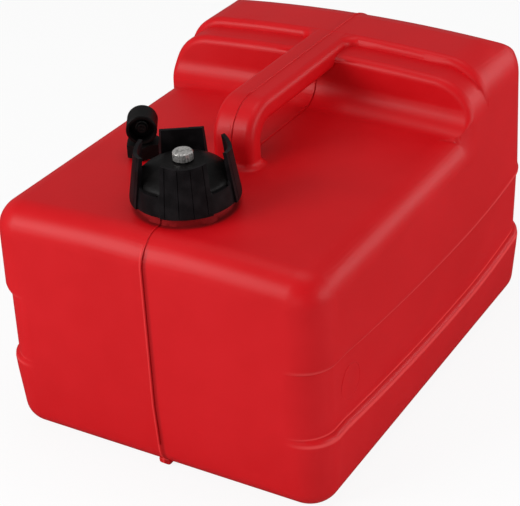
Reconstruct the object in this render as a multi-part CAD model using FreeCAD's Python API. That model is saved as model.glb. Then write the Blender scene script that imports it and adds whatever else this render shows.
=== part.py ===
import FreeCAD, Part
import math
import os
from FreeCAD import Vector

# Portable outboard fuel tank of about 12 litres, in millimetres.
# +Z is up, +Y runs from the filler end to the tall rear end, and the origin is
# on the floor under the middle of the tank. Radii are named, not diameters.

# Tank body, a hollow blow moulding that is wider above and below its waist
LENGTH = 322.0
BASE_WIDTH = 242.0
FOOT_SETBACK = 4.0
LEDGE_HEIGHT = 50.0
LEDGE_ROUNDING = 2.5
WAIST_WIDTH = 234.4
WAIST_TOP = 95.0
OVERHANG_ROUNDING = 5.0
UPPER_WIDTH = 240.8
TOP_WIDTH = 236.0
WALL = 3.5
CORNER_RADIUS = 23.0
FLOOR_EDGE_RADIUS = 16.0
STEP_FACETS = 3

# Low front deck, arched across the tank
DECK_HEIGHT = 170.0
DECK_CROWN_RADIUS = 1800.0
DECK_EDGE_RADIUS = 20.0

# Tall rear end, with a narrow shelf along its front
TOWER_RISE = 41.0
TOWER_HEIGHT = DECK_HEIGHT + TOWER_RISE
TOWER_CROWN_RADIUS = 1200.0
TOWER_EDGE_RADIUS = 31.0
TOWER_LENGTH = 99.0
TOWER_FRONT = LENGTH / 2 - TOWER_LENGTH
TOWER_ROOT_RADIUS = 17.0
TOWER_SHOULDER_RADIUS = 30.0
TOWER_REAR_RADIUS = 46.0
TOWER_REAR_GAP = 0.3
SHELF_DEPTH = 22.0
SHELF_DROP = 6.0
SHELF_EDGE_RADIUS = 6.0
RIDGE_EDGE_RADIUS = 5.5

# Shallow panel sunk in the underside
PANEL_MARGIN = 34.0
PANEL_DEPTH = 2.0
PANEL_CORNER_RADIUS = 12.0

# Middle of the filler. The front post of the handle and the outlet are placed from it.
FILLER_SETBACK = 53.3
FILLER_Y = FILLER_SETBACK - LENGTH / 2

# Carry handle, moulded hollow in one piece with the tank
HANDLE_WIDTH = 30.0
HANDLE_THICKNESS = 16.0
HANDLE_EDGE_RADIUS = 5.5
HANDLE_BEND_RADIUS = 18.0
HANDLE_ROOT_RADIUS = 8.0
HANDLE_DROP = 0.2
POST_BEHIND_FILLER = 62.7
POST_Y = FILLER_Y + POST_BEHIND_FILLER
POST_FOOT_RADIUS = 5.0

# Raised seam where the two halves of the mould met
SEAM_WIDTH = 1.0
SEAM_PROUD = 0.7
SEAM_START = 20.0

# Filler: a low boss on the deck and a threaded neck
BOSS_RADIUS = 29.2
BOSS_DRAFT = 3.5
BOSS_HEIGHT = 5.2
BOSS_TOP = DECK_HEIGHT + BOSS_HEIGHT
BOSS_ROUNDING = 2.0
NECK_RADIUS = 25.0
NECK_BORE_RADIUS = 21.0
NECK_HEIGHT = 16.0
NECK_RIM = DECK_HEIGHT + NECK_HEIGHT
NECK_COLLAR_DROP = 5.5
NECK_COLLAR_TOP = NECK_RIM - NECK_COLLAR_DROP

# Filler cap: a closure that seals on the rim, inside a castellated grip
CLOSURE_BORE_RADIUS = 27.4
CLOSURE_WALL = 2.2
COLLAR_CLEARANCE = 0.08
GASKET_THICKNESS = 2.2
GASKET_CLEARANCE = 0.3
DOME_RISE = 10.7
DOME_EDGE_HEIGHT = NECK_RIM + 3.3
DOME_TOP = DOME_EDGE_HEIGHT + DOME_RISE
DOME_DISC_RADIUS = 12.0
DOME_FULLNESS = 1.5
DOME_FACETS = 5
DOME_WALL = 2.6
HUB_RADIUS = 6.6
CUP_SOCKET_RADIUS = 20.0
GRIP_CLEARANCE = 0.15
GRIP_FOOT_GAP = 1.4
GRIP_FOOT = BOSS_TOP + GRIP_FOOT_GAP
GRIP_LIP_HEIGHT = 0.8
GRIP_LIP_RADIUS = 28.2
SKIRT_RADIUS = 33.3
EAR_PROUD = 1.4
EAR_FOOT_HEIGHT = 2.0
EAR_HEIGHT = 32.8
EAR_TOP = GRIP_FOOT + EAR_HEIGHT
EAR_TIP_OUTER = 29.7
EAR_TIP_INNER = 27.2
EAR_SADDLE_DEPTH = 1.8
EAR_COUNT = 4
EAR_AZIMUTH = 33.4
NOTCH_ANGLE = 34.0
NOTCH_FLOOR = DOME_EDGE_HEIGHT - 0.3
NOTCH_CORNER_RADIUS = 4.0
EAR_GROOVE_DEPTH = 0.5
EAR_GROOVE_ANGLE = 15.0
EAR_GROOVE_COUNT = 4
DRIVE_RIB_COUNT = 8
DRIVE_RIB_RADIUS = 1.3

# Air vent in the cap: a knurled screw in a threaded brass insert
VENT_HEAD_RADIUS = 6.45
VENT_HEAD_HEIGHT = 5.6
VENT_HEAD_CHAMFER = 0.9
VENT_HEAD_GAP = 0.9
VENT_KNURL_COUNT = 24
VENT_KNURL_DEPTH = 0.35
VENT_SHANK_RADIUS = 2.5
VENT_SHANK_CLEARANCE = 0.05
VENT_LIFT = 2.0
VENT_TIP_LENGTH = 1.9
VENT_FLAT_DEPTH = 0.7
INSERT_RADIUS = 4.5
INSERT_LENGTH = 10.4
INSERT_GROOVE_DEPTH = 0.6
VENT_RING_RADIUS = 4.4
VENT_RING_SECTION = 0.75
CLIP_GROOVE_RADIUS = 1.9
CLIP_RADIUS = 4.0
CLIP_THICKNESS = 0.7
CUP_RADIUS = 18.8
CUP_WALL = 1.2
CUP_DEPTH = 3.4
CUP_FLOOR = NECK_RIM - CUP_DEPTH
CUP_RIM_HEIGHT = 3.0
CUP_HOLE_RADIUS = 1.5
CUP_HOLE_COUNT = 6

# Fuel outlet: a hose connector elbow held on a small neck by a hexagon nut
OUTLET_X = -62.8
OUTLET_BEHIND_FILLER = 47.6
OUTLET_Y = FILLER_Y + OUTLET_BEHIND_FILLER
OUTLET_AZIMUTH = 31.4
OUTLET_NECK_RADIUS = 9.0
OUTLET_NECK_BORE_RADIUS = 6.6
OUTLET_NECK_HEIGHT = 4.5
OUTLET_NECK_TOP = DECK_HEIGHT + OUTLET_NECK_HEIGHT
OUTLET_GASKET_THICKNESS = 0.8
HEAD_FLANGE_RADIUS = 8.6
HEAD_FLANGE_THICKNESS = 1.5
HEAD_TUBE_RADIUS = 6.4
HEAD_BORE_RADIUS = 4.6
HEAD_LENGTH = 20.0
HEAD_SOCKET_LENGTH = 7.0
ELBOW_FLANGE_RADIUS = 8.4
ELBOW_FLANGE_THICKNESS = 1.5
ELBOW_FLANGE_GAP = 0.05
STEM_RADIUS = 6.5
SPIGOT_CLEARANCE = 0.06
SPIGOT_LENGTH = 10.5
ELBOW_BORE_RADIUS = 2.2
ELBOW_DRILLING_RADIUS = 1.5
ELBOW_CHAMBER_LENGTH = 2.5
NUT_ACROSS_FLATS = 20.8
NUT_BOTTOM = DECK_HEIGHT + 0.2
NUT_SHOULDER = 1.4
NUT_THREAD_CLEARANCE = 0.1
NUT_CHAMFER = 1.0
SPIGOT_RING_SECTION = 0.6
SPIGOT_RING_DROP = 5.5
SPIGOT_RING_HEIGHT = OUTLET_NECK_TOP - SPIGOT_RING_DROP
RING_CLEARANCE = 0.03

# Hood of the elbow, a cup that shields the connector nipple
HOOD_RADIUS = 10.1
HOOD_BORE_RADIUS = 8.1
HOOD_RISE = 15.7
HOOD_HEIGHT = OUTLET_NECK_TOP + HOOD_RISE
HOOD_BACK = 10.5
HOOD_FRONT = 8.0
HOOD_FLOOR = -1.0
HOOD_EDGE_BEVEL = 0.6
NIPPLE_BASE_RADIUS = 4.0
NIPPLE_BASE_LENGTH = 5.5
NIPPLE_RADIUS = 3.5
NIPPLE_BORE_RADIUS = 2.6
NIPPLE_REACH = 6.0
NIPPLE_SEAT_RADIUS = 1.6
NIPPLE_SEAT_THICKNESS = 1.2
NIPPLE_RING_SECTION = 0.6
POPPET_HEAD_RADIUS = 2.5
POPPET_HEAD_THICKNESS = 1.0
POPPET_PIN_RADIUS = 1.2
POPPET_STEM_RADIUS = 1.0
POPPET_STEM_LENGTH = 2.4
POPPET_SEAL_THICKNESS = 0.8
POPPET_SEAL_GAP = 0.02
SPRING_WIRE_RADIUS = 0.22
SPRING_RADIUS = 1.8
SPRING_TURNS = 5
RETAINER_THICKNESS = 0.7

# Pickup: a tube down to a strainer just above the floor of the tank
PICKUP_RADIUS = 4.0
PICKUP_BORE_RADIUS = 3.0
PRESS_CLEARANCE = 0.02
STRAINER_RADIUS = 6.0
STRAINER_WALL = 1.2
STRAINER_LENGTH = 12.0
STRAINER_CLEARANCE = 1.5
STRAINER_SLOT_COUNT = 8
STRAINER_SLOT_WIDTH = 1.4
STRAINER_SOCKET = 5.0

# How far pieces that are cut or joined run into each other
LAPPED = 5.0

# Size of the flat bevel that touches a round of radius 1
BEVEL_PER_RADIUS = 2 - math.sqrt(2)

# Flats that stand for the round section of a seal ring
RING_FLATS = 8

FILLER = Vector(0, FILLER_Y, 0)
OUTLET = Vector(OUTLET_X, OUTLET_Y, 0)
UP = Vector(0, 0, 1)


def line(start, end):
    return Part.LineSegment(start, end).toShape()


def extrude(wire, direction):
    return Part.Face(wire).extrude(direction)


def plan_wire(half_width, front, rear, radius, z):
    """Closed rounded rectangle seen from above, at height z."""
    x = half_width - radius
    centres = ((x, rear - radius), (-x, rear - radius), (-x, front + radius), (x, front + radius))
    arcs = []
    for quarter, (cx, cy) in enumerate(centres):
        circle = Part.Circle(Vector(cx, cy, z), UP, radius)
        start = quarter * math.pi / 2
        arcs.append(circle.toShape(start, start + math.pi / 2))
    edges = []
    for arc, following in zip(arcs, arcs[1:] + arcs[:1]):
        edges.append(arc)
        edges.append(line(arc.Vertexes[-1].Point, following.Vertexes[0].Point))
    return Part.Wire(edges)


def prism(half_width, front, rear, radius, bottom, top):
    wire = plan_wire(half_width, front, rear, radius, bottom)
    return extrude(wire, Vector(0, 0, top - bottom))


def cylinder(radius, bottom, top, centre=Vector(0, 0, 0)):
    return Part.makeCylinder(radius, top - bottom, centre + Vector(0, 0, bottom))


def ring(outer, inner, bottom, top, centre):
    return cylinder(outer, bottom, top, centre).cut(cylinder(inner, bottom - 1, top + 1, centre))


def turned(outline, centre):
    """Solid of revolution about a vertical axis; the outline is (radius, height) corners."""
    corners = [centre + Vector(radius, 0, height) for radius, height in outline]
    wire = Part.makePolygon(corners + corners[:1])
    return Part.Face(wire).revolve(centre, UP, 360)


def o_ring(radius, section, centre):
    """Seal ring lying flat; its round section is drawn with a few flats."""
    outline = []
    for flat in range(RING_FLATS):
        angle = 2 * math.pi * (flat + 0.5) / RING_FLATS
        reach = section / math.cos(math.pi / RING_FLATS)
        outline.append((radius + reach * math.cos(angle), reach * math.sin(angle)))
    return turned(outline, centre)


def around(shape, centre, count, start=0.0, span=360.0):
    """Copies of a shape, evenly turned about a vertical axis."""
    copies = []
    for number in range(count):
        copy = shape.copy()
        copy.rotate(centre, UP, start + span * number / count)
        copies.append(copy)
    return copies


def soften(body, radius, edges, inset):
    """Round an edge of the outside; on the inside, where nobody sees it, bevel the edge instead."""
    if inset > 0:
        return body.makeChamfer(BEVEL_PER_RADIUS * radius, edges)
    return body.makeFillet(radius, edges)


def highest_face(shape):
    return max(shape.Faces, key=lambda face: face.CenterOfMass.z)


def lowest_face(shape):
    return min(shape.Faces, key=lambda face: face.CenterOfMass.z)


def foremost_face(shape):
    return min(shape.Faces, key=lambda face: face.CenterOfMass.y)


def rearmost_face(shape):
    return max(shape.Faces, key=lambda face: face.CenterOfMass.y)


def top_edge(face):
    return max(face.Edges, key=lambda edge: edge.CenterOfMass.z)


def upright_edges(shape):
    return [edge for edge in shape.Edges if abs(edge.tangentAt(edge.FirstParameter).z) > 0.9]


def circles(shape, radius, z):
    """Circular edges of one radius at one height."""
    found = []
    for edge in shape.Edges:
        round_edge = edge.Curve.TypeId == "Part::GeomCircle"
        if round_edge and abs(edge.Curve.Radius - radius) < 0.01 and abs(edge.CenterOfMass.z - z) < 0.01:
            found.append(edge)
    return found


# ---- tank body: each form is built twice, as the outside and, inset by the wall, as the space inside


def upper_half_width(z):
    slope = (UPPER_WIDTH - TOP_WIDTH) / 2 / (TOWER_HEIGHT - WAIST_TOP)
    return UPPER_WIDTH / 2 - slope * (z - WAIST_TOP)


def body_wire(width, z, inset):
    end = LENGTH / 2 - inset
    return plan_wire(width / 2 - inset, -end, end, CORNER_RADIUS - inset, z)


def leaning_block(low_x, high_x, low_y, high_y, low, high):
    """Block centred on the origin whose sides lean from one half width and length to another."""
    block = Part.makeWedge(-low_x, low, -low_y, -high_y, -high_x, low_x, high, low_y, high_y, high_x)
    block.rotate(Vector(0, 0, 0), Vector(1, 0, 0), 90)
    return block


def base(inset):
    """Lowest part, leaning in to the floor all round, with a large round along its foot."""
    low = inset
    high = LEDGE_HEIGHT - LEDGE_ROUNDING - inset
    corner_x = BASE_WIDTH / 2 - CORNER_RADIUS
    corner_y = LENGTH / 2 - CORNER_RADIUS
    top_radius = CORNER_RADIUS - inset
    foot_radius = top_radius - FOOT_SETBACK
    across = leaning_block(corner_x + foot_radius, corner_x + top_radius, corner_y, corner_y, low, high)
    along = leaning_block(corner_x, corner_x, corner_y + foot_radius, corner_y + top_radius, low, high)
    cones = []
    for x in (-corner_x, corner_x):
        for y in (-corner_y, corner_y):
            cones.append(Part.makeCone(foot_radius, top_radius, high - low, Vector(x, y, low)))
    body = across.fuse([along] + cones).removeSplitter()
    return soften(body, FLOOR_EDGE_RADIUS - inset, lowest_face(body).Edges, inset)


def step_wires(width, start, height, inset, rounding_up):
    """Outlines that climb a quarter round between the waist and a wider part.

    The step is in the width alone, so it fades away round the corners of the tank."""
    wires = []
    for facet in range(STEP_FACETS + 1):
        angle = math.pi / 2 * facet / STEP_FACETS
        if rounding_up:
            out, up = math.sin(angle), 1 - math.cos(angle)
        else:
            out, up = math.cos(angle), math.sin(angle)
        wires.append(body_wire(WAIST_WIDTH + (width - WAIST_WIDTH) * out, start + height * up, inset))
    return wires


def ledge(inset):
    """Rounded upper edge of the base."""
    start = LEDGE_HEIGHT - LEDGE_ROUNDING - inset
    return Part.makeLoft(step_wires(BASE_WIDTH, start, LEDGE_ROUNDING, inset, False), True, True)


def waist(inset):
    low = LEDGE_HEIGHT - inset
    high = WAIST_TOP + inset
    return extrude(body_wire(WAIST_WIDTH, low, inset), Vector(0, 0, high - low))


def overhang(rim, inset):
    """Rounded lower edge of the upper part, ending on the outline that part starts with."""
    start = WAIST_TOP + inset
    width = 2 * upper_half_width(start + OVERHANG_ROUNDING)
    wires = step_wires(width, start, OVERHANG_ROUNDING, inset, True)
    return Part.makeLoft(wires[:-1] + [rim], True, True)


def crowned_block(top, crown_radius, front, rear, bottom):
    """Block wider than the tank whose top is a long arch across the tank."""
    half = BASE_WIDTH
    side_top = top - crown_radius + math.sqrt(crown_radius**2 - half**2)
    corners = (
        Vector(half, front, side_top),
        Vector(half, front, bottom),
        Vector(-half, front, bottom),
        Vector(-half, front, side_top),
    )
    edges = [line(start, end) for start, end in zip(corners, corners[1:])]
    edges.append(Part.Arc(corners[3], Vector(0, front, top), corners[0]).toShape())
    return extrude(Part.Wire(edges), Vector(0, rear - front, 0))


def arched_block(top, crown_radius, front, rear, inset):
    """Upper part of the tank across its width: leaning sides under an arched top."""
    low = WAIST_TOP + OVERHANG_ROUNDING + inset
    high = TOWER_HEIGHT + LAPPED
    wide, narrow = upper_half_width(low) - inset, upper_half_width(high) - inset
    corners = [
        Vector(-wide, front, low),
        Vector(wide, front, low),
        Vector(narrow, front, high),
        Vector(-narrow, front, high),
    ]
    block = extrude(Part.makePolygon(corners + corners[:1]), Vector(0, rear - front, 0))
    return block.common(crowned_block(top - inset, crown_radius - inset, front, rear, low))


def deck_body(inset):
    """The upper part over its whole length, up to the front deck."""
    end = LENGTH / 2 - inset
    body = arched_block(DECK_HEIGHT, DECK_CROWN_RADIUS, -end, end, inset)
    body = body.makeFillet(CORNER_RADIUS - inset, upright_edges(body))
    return soften(body, DECK_EDGE_RADIUS - inset, highest_face(body).Edges, inset)


def tower(top, front, rear, inset):
    """Length of the tall rear end, with its two long top edges rounded."""
    body = arched_block(top, TOWER_CROWN_RADIUS, front, rear, inset)
    edges = highest_face(body).Edges
    along = [edge for edge in edges if abs(edge.tangentAt(edge.FirstParameter).y) > 0.9]
    return body.makeFillet(TOWER_EDGE_RADIUS - inset, along)


def rear_round(inset):
    """Crowned block with a large round along its top rear edge, standing just outside the tower."""
    end = LENGTH / 2 + TOWER_REAR_GAP - inset
    top = TOWER_HEIGHT + TOWER_REAR_GAP - inset
    radius = TOWER_REAR_RADIUS - inset
    lean = radius * (1 - math.sqrt(0.5))
    corners = (
        Vector(0, end - radius, top),
        Vector(0, 0, top),
        Vector(0, 0, LEDGE_HEIGHT),
        Vector(0, end, LEDGE_HEIGHT),
        Vector(0, end, top - radius),
    )
    edges = [line(start, stop) for start, stop in zip(corners, corners[1:])]
    edges.append(Part.Arc(corners[-1], Vector(0, end - lean, top - lean), corners[0]).toShape())
    profile = Part.Face(Part.Wire(edges))
    crown_centre = Vector(0, 0, TOWER_HEIGHT - TOWER_CROWN_RADIUS)
    half_angle = math.degrees(BASE_WIDTH / 2 / (TOWER_CROWN_RADIUS - TOWER_HEIGHT))
    profile.rotate(crown_centre, Vector(0, 1, 0), -half_angle)
    return profile.revolve(crown_centre, Vector(0, 1, 0), 2 * half_angle)


def tower_rear(inset):
    """The tower behind its shelf: a ridge in front and a large round along its back edge."""
    front = TOWER_FRONT + SHELF_DEPTH + inset
    body = tower(TOWER_HEIGHT, front, LENGTH / 2 - inset, inset)
    body = body.makeFillet(CORNER_RADIUS - inset, [top_edge(rearmost_face(body))])
    body = body.makeFillet(RIDGE_EDGE_RADIUS - inset, [top_edge(foremost_face(body))])
    return body.common(rear_round(inset))


def space_over_deck(inset):
    """Air in front of the tower, with the cove where deck and tower meet."""
    wall = TOWER_FRONT + inset
    space = Part.makeBox(
        2 * UPPER_WIDTH, LENGTH, LENGTH, Vector(-UPPER_WIDTH, wall - LENGTH, DECK_HEIGHT / 2)
    )
    deck = crowned_block(DECK_HEIGHT - inset, DECK_CROWN_RADIUS - inset, -2 * LENGTH, LENGTH, 0)
    space = space.cut(deck)
    arcs = [edge for edge in space.Edges if edge.Curve.TypeId == "Part::GeomCircle"]
    corner = [edge for edge in arcs if abs(edge.CenterOfMass.y - wall) < 0.01]
    return soften(space, TOWER_ROOT_RADIUS + inset, corner, inset)


def tower_front(inset):
    """The tower's front wall and shelf, with rounded shoulders and a cove at its foot."""
    wall = TOWER_FRONT + inset
    front = TOWER_FRONT - TOWER_ROOT_RADIUS - LAPPED
    rear = TOWER_FRONT + SHELF_DEPTH + 2 * LAPPED
    body = tower(TOWER_HEIGHT - SHELF_DROP, front, rear, inset)
    shoulders = arched_block(TOWER_HEIGHT, TOWER_CROWN_RADIUS, front, rear + LAPPED, inset)
    leading = [edge for edge in upright_edges(shoulders) if abs(edge.CenterOfMass.y - front) < 0.01]
    shoulders = shoulders.makeFillet(TOWER_SHOULDER_RADIUS, leading)
    body = body.common(shoulders).cut(space_over_deck(inset))
    if inset > 0:
        return body
    flat = [face for face in body.Faces if face.Surface.TypeId == "Part::GeomPlane"]
    wall_face = [face for face in flat if abs(face.CenterOfMass.y - wall) < 0.01][0]
    return body.makeFillet(SHELF_EDGE_RADIUS, [top_edge(wall_face)])


def underside_panel(inset):
    """Space that the sunk panel takes out of the underside."""
    half_width = BASE_WIDTH / 2 - FOOT_SETBACK - PANEL_MARGIN + inset
    end = LENGTH / 2 - FOOT_SETBACK - PANEL_MARGIN + inset
    return prism(half_width, -end, end, PANEL_CORNER_RADIUS + inset, -LAPPED, PANEL_DEPTH + inset)


def handle_section(inset):
    """Cross-section of the handle, as a face across Y centred on the origin."""
    half_width = HANDLE_WIDTH / 2 - inset
    half_depth = HANDLE_THICKNESS / 2 - inset
    wire = plan_wire(half_width, -half_depth, half_depth, HANDLE_EDGE_RADIUS - inset, 0)
    face = Part.Face(wire)
    face.rotate(Vector(0, 0, 0), Vector(1, 0, 0), 90)
    return face


def handle(inset):
    """Bar from the tower's ridge forward to a round bend and a post down to the deck."""
    bar_height = TOWER_HEIGHT - HANDLE_DROP - HANDLE_THICKNESS / 2
    bar_end = TOWER_FRONT + SHELF_DEPTH + RIDGE_EDGE_RADIUS + inset
    bend_y = POST_Y + HANDLE_BEND_RADIUS
    section = handle_section(inset)
    section.translate(Vector(0, bend_y, bar_height))
    bar = section.extrude(Vector(0, bar_end - bend_y, 0))
    hub = Vector(0, bend_y, bar_height - HANDLE_BEND_RADIUS)
    bend = section.revolve(hub, Vector(1, 0, 0), 90)
    foot = section.copy()
    foot.rotate(hub, Vector(1, 0, 0), 90)
    post = foot.extrude(Vector(0, 0, DECK_HEIGHT - LAPPED - WALL - hub.z))
    return bar.fuse([bend, post]).removeSplitter()


def handle_root():
    """Rounded corners on both sides of the bar, where it runs into the tower's ridge."""
    wall = TOWER_FRONT + SHELF_DEPTH
    reach = HANDLE_WIDTH / 2 + HANDLE_ROOT_RADIUS
    low = TOWER_HEIGHT - SHELF_DROP - LAPPED
    top = TOWER_HEIGHT - 2 * HANDLE_DROP
    block = Part.makeBox(
        2 * reach, HANDLE_ROOT_RADIUS + 2 * LAPPED, top - low, Vector(-reach, wall - HANDLE_ROOT_RADIUS, low)
    )
    corners = []
    for x in (-reach, reach):
        middle = Vector(x, wall - HANDLE_ROOT_RADIUS, 0)
        corners.append(cylinder(HANDLE_ROOT_RADIUS, low - 1, top + 1, middle))
    block = block.cut(corners)
    return block.makeFillet(RIDGE_EDGE_RADIUS, circles(block, HANDLE_ROOT_RADIUS, top))


def filler_boss(inset):
    low = DECK_HEIGHT - LAPPED - WALL
    top = BOSS_TOP - inset
    radius = BOSS_RADIUS - inset
    outline = [(0, low), (radius + BOSS_DRAFT, low), (radius, top - BOSS_ROUNDING)]
    for facet in range(1, STEP_FACETS + 1):
        angle = math.pi / 2 * facet / STEP_FACETS
        out, up = BOSS_ROUNDING * (1 - math.cos(angle)), BOSS_ROUNDING * (1 - math.sin(angle))
        outline.append((radius - out, top - up))
    return turned(outline + [(0, top)], FILLER)


def filler_neck():
    collar = CLOSURE_BORE_RADIUS - COLLAR_CLEARANCE
    low = DECK_HEIGHT - WALL
    neck = cylinder(NECK_RADIUS, low, NECK_RIM, FILLER)
    return neck.fuse(cylinder(collar, low, NECK_COLLAR_TOP, FILLER))


def body_form(inset):
    """Whole tank without its necks, as one solid."""
    upper = deck_body(inset).fuse([tower_rear(inset), tower_front(inset)]).removeSplitter()
    rim = lowest_face(upper).OuterWire
    pieces = [base(inset), ledge(inset), waist(inset), overhang(rim, inset)]
    return upper.fuse(pieces).removeSplitter().cut(underside_panel(inset))


def post_foot_edges(shape):
    """Edges where the handle's post meets the deck."""
    found = []
    for edge in shape.Edges:
        middle = edge.CenterOfMass
        beside = abs(middle.x) < HANDLE_WIDTH / 2 + 0.1
        around_post = abs(middle.y - POST_Y) < HANDLE_THICKNESS / 2 + 0.1
        on_deck = abs(middle.z - DECK_HEIGHT) < 0.5
        if beside and around_post and on_deck:
            found.append(edge)
    return found


def seam():
    """Raised line that the mould left along the middle, from the front foot over the top."""
    grown = body_form(-SEAM_PROUD).fuse([handle(-SEAM_PROUD), filler_boss(-SEAM_PROUD)])
    slab = Part.makeBox(
        SEAM_WIDTH, 2 * LENGTH, 2 * LENGTH, Vector(-SEAM_WIDTH / 2, -LENGTH, SEAM_START)
    )
    return grown.common(slab)


def tank_shell():
    outside = body_form(0).fuse([handle(0), handle_root()])
    outside = outside.makeFillet(POST_FOOT_RADIUS, post_foot_edges(outside))
    outlet_low = DECK_HEIGHT - LAPPED - WALL
    necks = [
        filler_boss(0),
        filler_neck(),
        cylinder(OUTLET_NECK_RADIUS, outlet_low, OUTLET_NECK_TOP, OUTLET),
        seam(),
    ]
    inside = body_form(WALL).fuse([handle(WALL), filler_boss(WALL)])
    bores = [
        cylinder(NECK_BORE_RADIUS, outlet_low, NECK_RIM + LAPPED, FILLER),
        cylinder(OUTLET_NECK_BORE_RADIUS, outlet_low - WALL, OUTLET_NECK_TOP + LAPPED, OUTLET),
    ]
    return outside.fuse(necks).cut(inside.fuse(bores))


# ---- filler cap


def closure_ceiling():
    return NECK_RIM + GASKET_THICKNESS


def closure_radius():
    return CLOSURE_BORE_RADIUS + CLOSURE_WALL


def grip_bore_radius():
    return closure_radius() + GRIP_CLEARANCE


def dome_height(radius):
    """Height of the closure's domed top at a radius."""
    reach = (radius - DOME_DISC_RADIUS) / (closure_radius() - DOME_DISC_RADIUS)
    reach = min(1, max(0, reach))
    return DOME_EDGE_HEIGHT + DOME_RISE * (1 - reach**DOME_FULLNESS) ** (1 / DOME_FULLNESS)


def dome_outline():
    """Corners of the domed top, from its flat middle out to its edge."""
    corners = []
    for facet in range(DOME_FACETS):
        reach = math.sin(math.pi / 2 * facet / DOME_FACETS) ** (2 / DOME_FULLNESS)
        radius = DOME_DISC_RADIUS + (closure_radius() - DOME_DISC_RADIUS) * reach
        corners.append((radius, dome_height(radius)))
    return corners + [(closure_radius(), DOME_EDGE_HEIGHT)]


def drive_ribs(radius, low, high):
    rib = cylinder(radius, low, high, FILLER + Vector(closure_radius(), 0, 0))
    return around(rib, FILLER, DRIVE_RIB_COUNT)


def cap_closure():
    """Inner part of the cap: it seals on the neck's rim and carries the vent."""
    low = GRIP_FOOT + GRIP_LIP_HEIGHT + GRIP_CLEARANCE
    ceiling = closure_ceiling()
    hub_bottom = insert_bottom()
    socket_top = dome_height(CUP_SOCKET_RADIUS) - DOME_WALL
    disc_bottom = DOME_TOP - DOME_WALL
    outline = [(insert_bore(), hub_bottom), (insert_bore(), DOME_TOP)]
    outline += dome_outline()
    outline += [
        (closure_radius(), low),
        (CLOSURE_BORE_RADIUS, low),
        (CLOSURE_BORE_RADIUS, ceiling),
        (CUP_SOCKET_RADIUS, ceiling),
        (CUP_SOCKET_RADIUS, socket_top),
        (DOME_DISC_RADIUS, disc_bottom),
        (HUB_RADIUS, disc_bottom),
        (HUB_RADIUS, hub_bottom),
    ]
    rib_top = DOME_EDGE_HEIGHT - DRIVE_RIB_RADIUS
    ribs = drive_ribs(DRIVE_RIB_RADIUS, low, rib_top)
    return turned(outline, FILLER).fuse(ribs)


def filler_gasket():
    outer = CLOSURE_BORE_RADIUS - GASKET_CLEARANCE
    inner = NECK_BORE_RADIUS + GASKET_CLEARANCE
    return ring(outer, inner, NECK_RIM, closure_ceiling(), FILLER)


def grip_blank():
    """Leaning wall of the grip before the notches, with the lip that holds the closure."""
    bore = grip_bore_radius()
    outline = (
        (GRIP_LIP_RADIUS, GRIP_FOOT),
        (SKIRT_RADIUS + EAR_PROUD, GRIP_FOOT),
        (SKIRT_RADIUS + EAR_PROUD, GRIP_FOOT + EAR_FOOT_HEIGHT),
        (EAR_TIP_OUTER, EAR_TOP),
        (EAR_TIP_INNER, EAR_TOP),
        (bore, DOME_EDGE_HEIGHT),
        (bore, GRIP_FOOT + GRIP_LIP_HEIGHT),
        (GRIP_LIP_RADIUS, GRIP_FOOT + GRIP_LIP_HEIGHT),
    )
    return turned(outline, FILLER)


def notch_outline(distance):
    """U shape across a notch, at one distance from the cap's axis."""
    half = distance * math.tan(math.radians(NOTCH_ANGLE / 2))
    radius = NOTCH_CORNER_RADIUS * distance / SKIRT_RADIUS
    low, high = NOTCH_FLOOR, EAR_TOP + LAPPED
    lean = radius * math.sqrt(0.5)
    y = -distance
    left_arc = Part.Arc(
        Vector(-half, y, low + radius),
        Vector(-half + radius - lean, y, low + radius - lean),
        Vector(-half + radius, y, low),
    )
    right_arc = Part.Arc(
        Vector(half - radius, y, low),
        Vector(half - radius + lean, y, low + radius - lean),
        Vector(half, y, low + radius),
    )
    edges = [
        line(Vector(-half, y, high), Vector(-half, y, low + radius)),
        left_arc.toShape(),
        line(Vector(-half + radius, y, low), Vector(half - radius, y, low)),
        right_arc.toShape(),
        line(Vector(half, y, low + radius), Vector(half, y, high)),
        line(Vector(half, y, high), Vector(-half, y, high)),
    ]
    return Part.Wire(edges)


def notches():
    """Gaps between the ears, each with flanks that point at the axis and a round-cornered floor."""
    gap = Part.makeLoft([notch_outline(LAPPED), notch_outline(2 * SKIRT_RADIUS)], True, True)
    gap.translate(FILLER)
    return around(gap, FILLER, EAR_COUNT, EAR_AZIMUTH + 180 / EAR_COUNT)


def skirt_relief():
    """Sectors between the ears where the outer wall stands back from the ears' faces."""
    outer = SKIRT_RADIUS + 2 * EAR_PROUD
    half = math.radians(NOTCH_ANGLE / 2)
    reach = 2 * outer
    corners = [
        FILLER,
        FILLER + Vector(-reach * math.sin(half), -reach * math.cos(half), 0),
        FILLER + Vector(reach * math.sin(half), -reach * math.cos(half), 0),
    ]
    sector = extrude(Part.makePolygon(corners + corners[:1]), UP * LAPPED * LAPPED)
    sector.translate(UP * GRIP_FOOT)
    core = turned(
        (
            (0, GRIP_FOOT - 1),
            (SKIRT_RADIUS, GRIP_FOOT - 1),
            (SKIRT_RADIUS, GRIP_FOOT + EAR_FOOT_HEIGHT),
            (EAR_TIP_OUTER - EAR_PROUD, EAR_TOP),
            (0, EAR_TOP + LAPPED),
        ),
        FILLER,
    )
    return around(sector.cut(core), FILLER, EAR_COUNT, EAR_AZIMUTH + 180 / EAR_COUNT)


def v_cutter(depth, foot, head):
    """Three-sided bar whose edge runs from foot to head, depth inside them, to cut a V groove."""
    corners = [foot + Vector(0, depth, 0), foot + Vector(depth, -depth, 0), foot + Vector(-depth, -depth, 0)]
    return extrude(Part.makePolygon(corners + corners[:1]), head - foot)


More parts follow.
